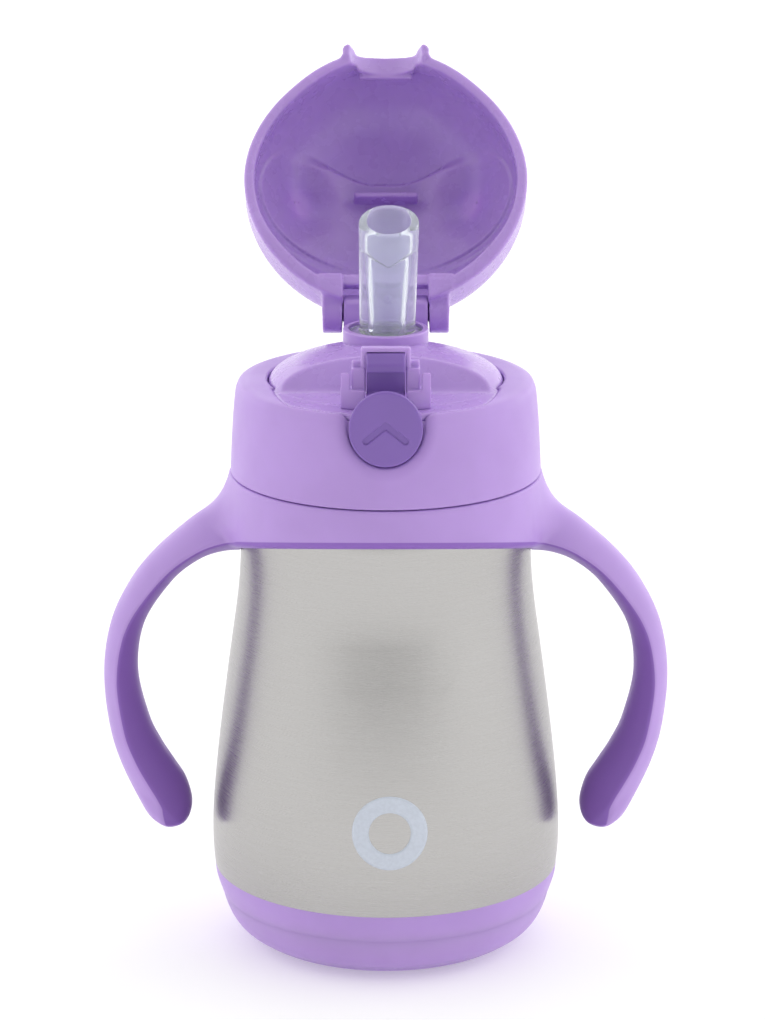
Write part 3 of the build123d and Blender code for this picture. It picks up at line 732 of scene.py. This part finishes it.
def make_flip_lid(material):
    low = (-LID_R, -LID_R, 132.9)
    high = (LID_R, PIN_Y + ARM_R, LID_STRAIGHT_Z + LID_CROWN)
    piece = moulded("flip_lid_moulded", lid_field, low, high, 0.42)
    p = opened(points_of(piece))
    piece.data.vertices.foreach_set("co", (p * MM).ravel().astype(np.float32))
    piece.data.update()
    finish_piece(piece, "flip_lid", "lid_gloss", material, "flip_lid")


# Screw collar

COLLAR_FOOT = COLLAR_LOW[2]
COLLAR_TOP = 133.3
SLEEVE_R = 30.3
THREAD_CREST_R = 29.3
THREAD_Z, THREAD_PITCH, THREAD_TURNS = 115.6, 4.0, 2.0
POCKET_R = 8.95
POCKET_Y = -31.9
COLLAR_WALL = ([COLLAR_FOOT, 118.5, 123.2, 127.9, 131.0, 133.0], [35.4, 35.1, 34.82, 34.45, 34.1, 33.9])
COLLAR_BORE = ([127.1, 127.9, 128.0, 131.2, 131.21], [SLEEVE_R, 29.5, 29.45, 29.45, 26.9])
DISH_WIDE, DISH_DEEP = 1.9, 0.8
DISH_SCALE = 1 / math.hypot(1 / DISH_WIDE, 1 / DISH_DEEP)
LOBE_R = 32.5
LOBE_SIDE = [(25.6, -10.0), (24.4, -16.4), (23.0, -21.5), (20.6, -26.4), (15.0, -40.0)]
KNUCKLE_R, KNUCKLE_HALF = 4.3, 9.75
KNUCKLE_FRONT, KNUCKLE_TOP = 29.0, 144.7


def thread_field(p, crest_r, root_r):
    """A helical ridge between two radii."""
    turn = np.arctan2(p[:, 1], p[:, 0]) / (2 * math.pi)
    climb = (p[:, 2] - THREAD_Z) / THREAD_PITCH - turn
    nearest = np.clip(np.round(climb), 0, THREAD_TURNS)
    away = np.abs(climb - nearest) * THREAD_PITCH
    r = np.hypot(p[:, 0], p[:, 1])
    low, high = min(crest_r, root_r), max(crest_r, root_r)
    radial = np.abs(r - (low + high) / 2) - (high - low) / 2
    turns_done = np.clip(climb, -1, THREAD_TURNS + 1) + turn
    ends = np.maximum(0.05 - turns_done, turns_done - THREAD_TURNS) * THREAD_PITCH
    return np.maximum(np.maximum(away - 0.7, radial), ends) * 0.9


def tongue_plan(p, grow):
    """Seen from above, how far each point is outside the dome's front tongue."""
    line = np.array(LOBE_SIDE)
    half = np.interp(-p[:, 1], -line[:, 1], line[:, 0])
    return np.maximum((np.abs(p[:, 0]) - half - grow) * 0.95, p[:, 1] + 10.0)


def collar_field(p):
    """The collar's wall, bore, thread, seat for the dome's tongue, button pocket and hinge knuckle."""
    z = p[:, 2]
    r = np.hypot(p[:, 0], p[:, 1])
    wall = np.interp(z, *COLLAR_WALL)
    body = meet(r - wall, np.abs(z - (COLLAR_FOOT + COLLAR_TOP) / 2) - (COLLAR_TOP - COLLAR_FOOT) / 2, 0.35)
    body = meet(body, (r - wall + z - COLLAR_TOP + 0.9) * 0.707, 1.6)
    outer = body
    body = cut(body, r - np.interp(z, *COLLAR_BORE))
    body = join(body, thread_field(p, THREAD_CREST_R, SLEEVE_R + 0.3), 0.4)
    lobe = meet(tongue_plan(p, 0.12), np.maximum(r - LOBE_R - 0.2, 131.2 - z), 0.3)
    body = cut(body, lobe, 0.2)
    pocket = rod(p * (DISC_OVAL, 1, 1), 1, (0, DISC_Z), POCKET_R, -45.0, POCKET_Y)
    mouth = (1 - pocket / DISH_WIDE + outer / DISH_DEEP) * DISH_SCALE
    body = meet(cut(body, pocket, 0.25), np.where(p[:, 1] < -25, mouth, -5.0), 0.5)
    plinth_low = (-KNUCKLE_HALF, KNUCKLE_FRONT, 131.0)
    plinth = block(p, plinth_low, (KNUCKLE_HALF, PIN_Y + KNUCKLE_R, KNUCKLE_TOP), 0.3)
    turn = np.hypot(p[:, 1] - PIN_Y, np.maximum(z - PIN_Z, 0)) - 5.2
    back = meet(p[:, 1] - PIN_Y - 1.2, z - KNUCKLE_TOP, 3.0)
    under = (p[:, 1] - 34.2) * 0.8 - (z - 131.5) * 0.6
    plinth = meet(meet(plinth, turn, 0.4), meet(under, back, 0.6), 0.6)
    knuckle = join(plinth, rod(p, 0, (PIN_Y, PIN_Z), KNUCKLE_R, -KNUCKLE_HALF, KNUCKLE_HALF, 0.35), 0.3)
    body = join(body, knuckle, 0.5)
    return cut(body, rod(p, 0, (PIN_Y, PIN_Z), PIN_R - 0.05, -20.0, 20.0))


def make_collar(material):
    piece = moulded("screw_collar_moulded", collar_field, COLLAR_LOW, COLLAR_HIGH, 0.42)
    finish_piece(piece, "collar", "collar_lilac", material, "screw_collar")


# Dome

DOME_LOW, DOME_HIGH = node_box("lid_dome")
DOME_R, DOME_H, DOME_BASE_Z, DOME_WALL = 26.5, 7.5, 132.5, 1.8
FLOOR_Z = 132.8
SEAT_R, SEAT_Z, PLATE_TOP = 29.4, 128.0, 131.2
SLOPE_TOP = (-6.5, 139.5)
SLOPE_FOOT = (-13.0, 132.8)
BOSS_R, BOSS_LOW, BOSS_TOP = 9.3, 135.2, 140.3
STEM_R = 5.25
TONGUE_FOOT_Z, INNER_FLOOR_Z = 131.25, 129.0
SLOPE_WALL, HOLLOW_LOW_Z = 2.2, 131.0
TOWER_HALF, TOWER_Y, TOWER_BACK, TOWER_TOP = 3.4, -18.0, -6.0, 140.2
SPRING_Z, SPRING_HOLE_R, SPRING_HOLE_END = 137.3, 2.1, -13.6
VENT_Y, VENT_R, VENT_TOP = -15.5, 2.0, 132.4


def slope_front(p):
    """Distance behind the dome's sloping front face."""
    run, rise = SLOPE_TOP[0] - SLOPE_FOOT[0], SLOPE_TOP[1] - SLOPE_FOOT[1]
    size = math.hypot(run, rise)
    return ((p[:, 1] - SLOPE_FOOT[0]) * rise - (p[:, 2] - SLOPE_FOOT[1]) * run) / size


def dome_field(p):
    """The glossy dome with its sloping front, the flat tongue before it, the spring tower and its holes."""
    r = np.hypot(p[:, 0], p[:, 1])
    z = p[:, 2]
    crown = meet(bowl(p, DOME_R, DOME_H, DOME_BASE_Z), -slope_front(p), 0.45)
    crown = meet(crown, SEAT_Z - z)
    plate = meet(r - SEAT_R, np.abs(z - (SEAT_Z + PLATE_TOP) / 2) - (PLATE_TOP - SEAT_Z) / 2, 0.2)
    tongue = meet(tongue_plan(p, 0.0), r - LOBE_R - 0.05, 0.4)
    tongue = meet(meet(tongue, z - FLOOR_Z, 0.6), TONGUE_FOOT_Z - z)
    inner_floor = rod(p, 2, (0, 0), DOME_R, INNER_FLOOR_Z, FLOOR_Z, 0.2)
    solid = join(join(crown, tongue, 1.2), join(plate, inner_floor, 0.3), 0.4)
    hollow = bowl(p, DOME_R - DOME_WALL, DOME_H - DOME_WALL, DOME_BASE_Z)
    hollow = np.maximum(hollow, np.minimum(SLOPE_WALL - slope_front(p), z - HOLLOW_LOW_Z))
    dome = cut(solid, hollow, 0.4)
    dome = join(dome, rod(p, 2, (0, SPOUT_Y), BOSS_R, BOSS_LOW, BOSS_TOP, 0.2), 0.6)
    tower = block(p, (-TOWER_HALF, TOWER_Y, FLOOR_Z - 1), (TOWER_HALF, TOWER_BACK, TOWER_TOP), 0.5)
    tower = meet(tower, slope_front(p) - 0.6)
    dome = join(dome, tower, 0.8)
    dome = cut(dome, rod(p, 2, (0, SPOUT_Y), STEM_R, 120.0, 145.0), 0.2)
    dome = cut(dome, rod(p, 1, (0, SPRING_Z), SPRING_HOLE_R, TOWER_Y - 3, SPRING_HOLE_END), 0.2)
    dome = cut(dome, rod(p, 2, (0, VENT_Y), VENT_R, 120.0, VENT_TOP))
    return cut(dome, rod(p * (DISC_OVAL, 1, 1), 1, (0, DISC_Z), POCKET_R, -45.0, POCKET_Y), 0.3)


def make_dome(material):
    piece = moulded("lid_dome_moulded", dome_field, DOME_LOW, DOME_HIGH, 0.36)
    finish_piece(piece, "collar", "dome_gloss", material, "lid_dome")


# Latch: each block by two opposite corners

BASE = (4.6, -29.6, FLOOR_Z), (10.0, -23.6, 137.2)
POST = (7.95, -29.6, 136.5), (10.0, -26.7, 141.05)
LUG = (4.6, -27.0, 136.0), (7.5, -23.6, 141.9)
LUG_BACK = (4.6, -25.6, 140.0), (7.5, -23.6, 143.3)
HOOP = (-5.5, -26.4, 136.5), (5.5, -23.6, 146.4)
HOOP_WINDOW = (-4.45, -28.0, 130.0), (4.45, -22.0, 145.45)


def bracket_field(p):
    """Two bases with posts and stepped lugs, and a hoop over the hook, kept inside the closed lid."""
    base = twin_block(p, *BASE, 0.35)
    posts = twin_block(p, *POST, 0.6)
    lugs = join(twin_block(p, *LUG, 0.3), twin_block(p, *LUG_BACK, 0.5), 0.3)
    hoop = cut(block(p, *HOOP, 0.6), block(p, *HOOP_WINDOW, 0.2), 0.2)
    latch = join(join(join(base, posts, 0.4), lugs, 0.25), hoop, 0.25)
    plan = in_plan(p)
    return meet(latch, np.hypot(plan[:, 0], plan[:, 1]) - LID_R + RIM_WALL + LATCH_GAP, 0.3)


def make_bracket(material):
    piece = moulded("latch_bracket_moulded", bracket_field, BRACKET_LOW, BRACKET_HIGH, 0.14)
    finish_piece(piece, "collar", "bracket_lilac", material, "latch_bracket")


HOOK_HALF = 4.2
STEM_FRONT, STEM_BACK = -26.6, -24.7
HOOK_FRONT = -28.6
HOOK_BOTTOM, HOOK_TOP = 141.3, 145.2
HOOK_RAMP_RISE, HOOK_RAMP_Y, HOOK_RAMP_Z = 1.8, 0.77, 0.64
DISC_THICK, GROOVE_DEEP = 1.6, 0.45
BRIDGE_IN, BRIDGE_LOW, BRIDGE_TOP = 1.2, 133.5, 136.4
PEG_R, PEG_LONG = 0.9, 1.2
CHEVRON_TOP, CHEVRON_END, CHEVRON_R = 0.9, (4.3, -2.6), 0.75


def chevron(p):
    """A shallow V-shaped groove, point up, with round ends."""
    x, z = np.abs(p[:, 0]), p[:, 2] - DISC_Z - CHEVRON_TOP
    out, down = CHEVRON_END[0], CHEVRON_END[1] - CHEVRON_TOP
    t = np.clip((x * out + z * down) / (out**2 + down**2), 0, 1)
    return np.hypot(x - t * out, z - t * down) - CHEVRON_R


def button_field(p):
    """The grooved disc, and the bridge, stem and ramped hook behind it."""
    disc = rod(p * (DISC_OVAL, 1, 1), 1, (0, DISC_Z), DISC_R, DISC_Y, DISC_Y + DISC_THICK, 0.45)
    groove = np.maximum(chevron(p), p[:, 1] - (DISC_Y + GROOVE_DEEP))
    disc = cut(disc, groove, 0.3)
    bridge = block(p, (-HOOK_HALF, DISC_Y + BRIDGE_IN, BRIDGE_LOW), (HOOK_HALF, STEM_BACK, BRIDGE_TOP), 0.2)
    stem = block(p, (-HOOK_HALF, STEM_FRONT, BRIDGE_LOW), (HOOK_HALF, STEM_BACK, HOOK_TOP), 0.3)
    hook = block(p, (-HOOK_HALF, HOOK_FRONT, HOOK_BOTTOM), (HOOK_HALF, STEM_BACK, HOOK_TOP), 0.3)
    lean = (p[:, 2] - HOOK_BOTTOM - HOOK_RAMP_RISE) * HOOK_RAMP_Z - (p[:, 1] - HOOK_FRONT) * HOOK_RAMP_Y
    hook = meet(hook, lean, 0.4)
    peg = rod(p, 1, (0, SPRING_Z), PEG_R, STEM_BACK - 1, STEM_BACK + PEG_LONG, 0.1)
    return join(join(join(disc, bridge, 0.3), join(stem, hook, 0.3), 0.3), peg)


def make_button(material):
    piece = moulded("latch_button_moulded", button_field, BUTTON_LOW, BUTTON_HIGH, 0.16)
    finish_piece(piece, "button", "button_violet", material, "latch_button")


# Mouthpiece: one silicone moulding, drawn upright as a single mesh; the fold of its upper half is not made
# here

SPOUT_TOP = 167.0
SPOUT_FOOT_R, SPOUT_MOUTH_R = 6.45, 6.9
MOUTH_SLANT = math.radians(20.0)
BITE_R = 4.95
BORE_LOW_R, BORE_HIGH_R = 3.3, 4.0
ROOF_Z = 157.2
ROOF_RISE = 0.58
FLANGE_Z, FLANGE_THICK = 140.3, 1.2
PLUG_R, PLUG_LOW, PLUG_BORE_R, PLUG_BORE_TOP = 5.2, 131.0, 3.2, 137.5
SEAM_R, SEAM_LOW, SEAM_TOP = 0.16, 2.0, 5.0
GATE_Z, GATE_R = 150.2, 0.75
SPOUT_OFF, SPOUT_LEAN = 0.35, 0.015


def spout_field(p):
    """The tube stands a little off centre on its flange."""
    z = p[:, 2]
    above = np.maximum(z - FLANGE_Z - 1.0, 0)
    off = np.minimum(above * 0.35, SPOUT_OFF) + SPOUT_LEAN * above
    x, y = p[:, 0] - off, p[:, 1] - SPOUT_Y
    r = np.hypot(x, y)
    outer_r = np.interp(z, [FOLD_Z, SPOUT_TOP], [SPOUT_FOOT_R, SPOUT_MOUTH_R])
    mouth = (z - SPOUT_TOP) * math.cos(MOUTH_SLANT) - y * math.sin(MOUTH_SLANT)
    body = meet(meet(r - outer_r, mouth, 0.7), FLANGE_Z - z)
    flange = rod(p, 2, (0, SPOUT_Y), FLANGE_R, FLANGE_Z, FLANGE_Z + FLANGE_THICK, 0.3)
    plug = rod(p, 2, (0, SPOUT_Y), PLUG_R, PLUG_LOW, FLANGE_Z + 0.5, 0.2)
    body = join(join(body, flange, 1.2), plug)
    step = (ROOF_Z + ROOF_RISE * np.sqrt(x * x + 0.04) - z) * 0.865
    bite = meet(r - BITE_R, step, 0.5)
    bore = r - np.interp(z, [FOLD_Z, ROOF_Z], [BORE_LOW_R, BORE_HIGH_R])
    bore = meet(bore, FLANGE_Z - 1.0 - z)
    body = cut(body, join(bite, bore, 0.3), 0.45)
    body = cut(body, rod(p, 2, (0, SPOUT_Y), PLUG_BORE_R, PLUG_LOW - 2, PLUG_BORE_TOP))
    line = np.hypot(np.abs(x), np.maximum(y + outer_r - 0.05, 0) + np.maximum(-y - outer_r, 0))
    seam = meet(np.maximum(line - SEAM_R, y), np.maximum(FOLD_Z + SEAM_LOW - z, z - SPOUT_TOP + SEAM_TOP))
    gate = np.hypot(np.hypot(x, z - GATE_Z) - GATE_R, y + outer_r) - SEAM_R
    return join(join(body, seam, 0.12), gate, 0.1)


def make_spout(material):
    low = (-FLANGE_R, SPOUT_Y - FLANGE_R, PLUG_LOW)
    high = (FLANGE_R, SPOUT_Y + FLANGE_R, SPOUT_TOP + 2.6)
    piece = moulded("mouthpiece_moulded", spout_field, low, high, 0.2)
    piece.data.materials.clear()
    piece.data.materials.append(material)
    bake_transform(piece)
    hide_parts("spout_base", "spout_tip")


# Printed ring on the steel

PRINT_CENTRE = (0.9, 37.8)
PRINT_INNER_R, PRINT_OUTER_R = 4.7, 8.5
PRINT_PROUD = 0.05
PRINT_TURNS, PRINT_BANDS = 96, 6


def make_print(material):
    """A plain ring printed low on the front of the steel."""
    steel = BVHTree.FromObject(frame["nodes"]["outer_wall"], bpy.context.evaluated_depsgraph_get())
    points, faces = [], []
    for band in range(PRINT_BANDS + 1):
        radius = PRINT_INNER_R + (PRINT_OUTER_R - PRINT_INNER_R) * band / PRINT_BANDS
        for step in range(PRINT_TURNS):
            angle = 2 * math.pi * step / PRINT_TURNS
            x = PRINT_CENTRE[0] + radius * math.cos(angle)
            z = PRINT_CENTRE[1] + radius * math.sin(angle)
            hit, normal, _, _ = steel.ray_cast(Vector((x * MM, -0.2, z * MM)), Vector((0, 1, 0)))
            points.append(np.array(hit) / MM + np.array(normal) * PRINT_PROUD)
    for band in range(PRINT_BANDS):
        for step in range(PRINT_TURNS):
            a, b = band * PRINT_TURNS + step, band * PRINT_TURNS + (step + 1) % PRINT_TURNS
            faces.append((a, b, b + PRINT_TURNS, a + PRINT_TURNS))
    faces = np.array(faces)[:, ::-1]
    piece = mesh_object("printed_ring", points, faces)
    thicken = piece.modifiers.new("thickness", "SOLIDIFY")
    thicken.thickness = PRINT_PROUD * MM
    thicken.offset = -1
    finish_piece(piece, "bottle", "ring_lilac", material)


# CAD nodes that stay visible

def dress(name, material):
    """Gives a carried-over CAD node its material."""
    node = frame["nodes"][name]
    for place in range(len(node.material_slots)):
        node.material_slots[place].link = "OBJECT"
        node.material_slots[place].material = material


def main():
    make_camera()
    bpy.context.scene.view_settings.view_transform = "Standard"
    make_room()
    make_floor()
    lilac = plastic("lilac_satin", LILAC, 0.42)
    gloss = plastic("lilac_gloss", LILAC, 0.27, grain=0.006)
    ring = plastic("lilac_painted_shade", LILAC, 0.42, painted_shade=LILAC_SHADED)
    violet = plastic("violet_satin", VIOLET, 0.38)
    dress("base_boot", lilac)
    dress("outer_wall", brushed_steel("steel_brushed_round"))
    liner = brushed_steel("steel_liner_satin", 0.34, 0.5)
    dress("inner_flask", liner)
    dress("base_plate", liner)
    dress("vacuum_cap", plain_metal("solder_grey", (0.5, 0.5, 0.52), 0.45))
    dress("getter", plain_metal("getter_grey", (0.35, 0.35, 0.36), 0.6))
    dress("button_spring", plain_metal("spring_steel", (0.62, 0.61, 0.6), 0.25))
    dress("spout_ring", plastic("lilac_ring_satin", LILAC, 0.36))
    dress("hinge_pin", plastic("violet_pin", VIOLET, 0.4))
    seal = soft_white("silicone_white", (0.86, 0.87, 0.9))
    dress("lid_seal", seal)
    dress("vent_valve", seal)
    dress("straw_tube", clear("straw_clear", (0.93, 0.96, 0.98), 0.08, 1.49))
    make_handle_ring(ring)
    make_flip_lid(gloss)
    make_collar(lilac)
    make_dome(gloss)
    make_bracket(lilac)
    make_button(violet)
    make_spout(clear("silicone_clear", (0.9, 0.94, 1.0), 0.1, 1.33, 0.2))
    make_print(print_ink("print_pale_blue", (0.62, 0.67, 0.76)))


main()
